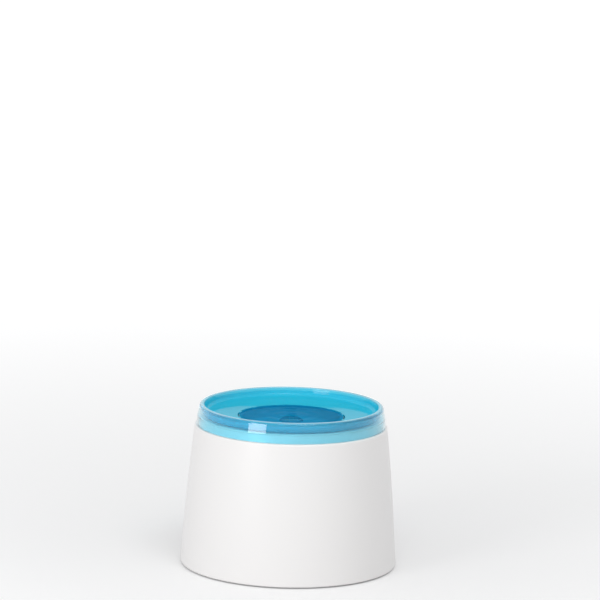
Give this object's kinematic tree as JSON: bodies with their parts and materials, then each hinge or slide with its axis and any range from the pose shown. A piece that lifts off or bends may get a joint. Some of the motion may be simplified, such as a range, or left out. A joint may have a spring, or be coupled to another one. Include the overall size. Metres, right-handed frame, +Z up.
{
  "type": "pet water fountain",
  "caption": "Round pet drinking fountain: white tapered housing, clear blue dish cover, inner tub, filter tray and submersible pump.",
  "frame": {"origin": "middle of the footprint on the floor", "axes": "+Z up, +Y towards the back with the power socket, -Y the front"},
  "size_m": [0.2098, 0.2098, 0.1572],
  "materials": {
    "housing_white": "smooth white housing plastic",
    "tub_white": "satin white plastic",
    "clear_blue": "clear blue plastic, polished",
    "base_grey": "pale grey plastic, fine texture",
    "tray_white": "white plastic, matt",
    "foam_white": "open white filter foam",
    "carbon_black": "activated carbon in a fine mesh pouch",
    "sponge_blue": "open blue-grey sponge",
    "pump_black": "black plastic, fine texture",
    "potting_black": "cast resin",
    "riser_clear": "clear tube",
    "impeller_white": "natural plastic",
    "ferrite": "ground ferrite",
    "ceramic_white": "ground ceramic",
    "core_steel": "stacked sheet steel",
    "coil_copper": "enamelled copper winding",
    "screw_steel": "plated steel",
    "contact_metal": "nickel plated",
    "foot_rubber": "grey rubber",
    "black_rubber": "black rubber",
    "cup_silicone": "clear soft silicone",
    "lead_black": "soft cable sheath"
  },
  "bodies": {
    "base": {"outer_housing": "housing_white", "reservoir_tub": "tub_white", "base_plate": "base_grey", "base_screws": "screw_steel", "rubber_feet": "foot_rubber", "power_socket": "pump_black", "socket_pin": "contact_metal", "socket_nut": "contact_metal", "socket_washer": "black_rubber", "pump_housing": "pump_black", "stator_core": "core_steel", "stator_coil": "coil_copper", "potting": "potting_black", "volute": "pump_black", "volute_seal": "black_rubber", "impeller_shaft": "ceramic_white", "shaft_bushes": "black_rubber", "suction_cups": "cup_silicone", "pump_lead": "lead_black", "lead_grommet": "black_rubber", "riser_tube": "riser_clear"},
    "cover": {"drinking_cover": "clear_blue"},
    "nozzle": {"bubbler_nozzle": "clear_blue"},
    "tray": {"filter_tray": "tray_white"},
    "filter": {"foam_pad": "foam_white", "carbon_bed": "carbon_black", "filter_grid": "tray_white"},
    "rotor": {"rotor_magnet": "ferrite", "impeller": "impeller_white"},
    "intake": {"intake_cover": "pump_black", "prefilter_sponge": "sponge_blue"},
    "dial": {"flow_dial": "impeller_white"}
  },
  "joints": [
    {"name": "cover_lift", "type": "slide", "parent": "base", "child": "cover", "axis": [0, 0, 1], "range_m": [0, 0.1]},
    {"name": "tray_lift", "type": "slide", "parent": "base", "child": "tray", "axis": [0, 0, 1], "range_m": [0, 0.05]},
    {"name": "filter_lift", "type": "slide", "parent": "tray", "child": "filter", "axis": [0, 0, 1], "range_m": [0, 0.03]},
    {"name": "nozzle_lift", "type": "slide", "parent": "cover", "child": "nozzle", "axis": [0, 0, 1], "range_m": [0, 0.02]},
    {"name": "impeller_spin", "type": "hinge", "parent": "base", "child": "rotor", "pos_m": [0, 0.0093, 0.0314], "axis": [0, 1, 0], "continuous": true},
    {"name": "intake_pull", "type": "slide", "parent": "base", "child": "intake", "axis": [0, -1, 0], "range_m": [0, 0.03]},
    {"name": "dial_turn", "type": "hinge", "parent": "intake", "child": "dial", "pos_m": [0, -0.03, 0.0345], "axis": [0, -1, 0], "range_deg": [0, 60]}
  ],
  "couplings": [
    {"joint": "tray_lift", "follows": "cover_lift", "ratio": 0.5},
    {"joint": "filter_lift", "follows": "cover_lift", "ratio": 0.3}
  ]
}
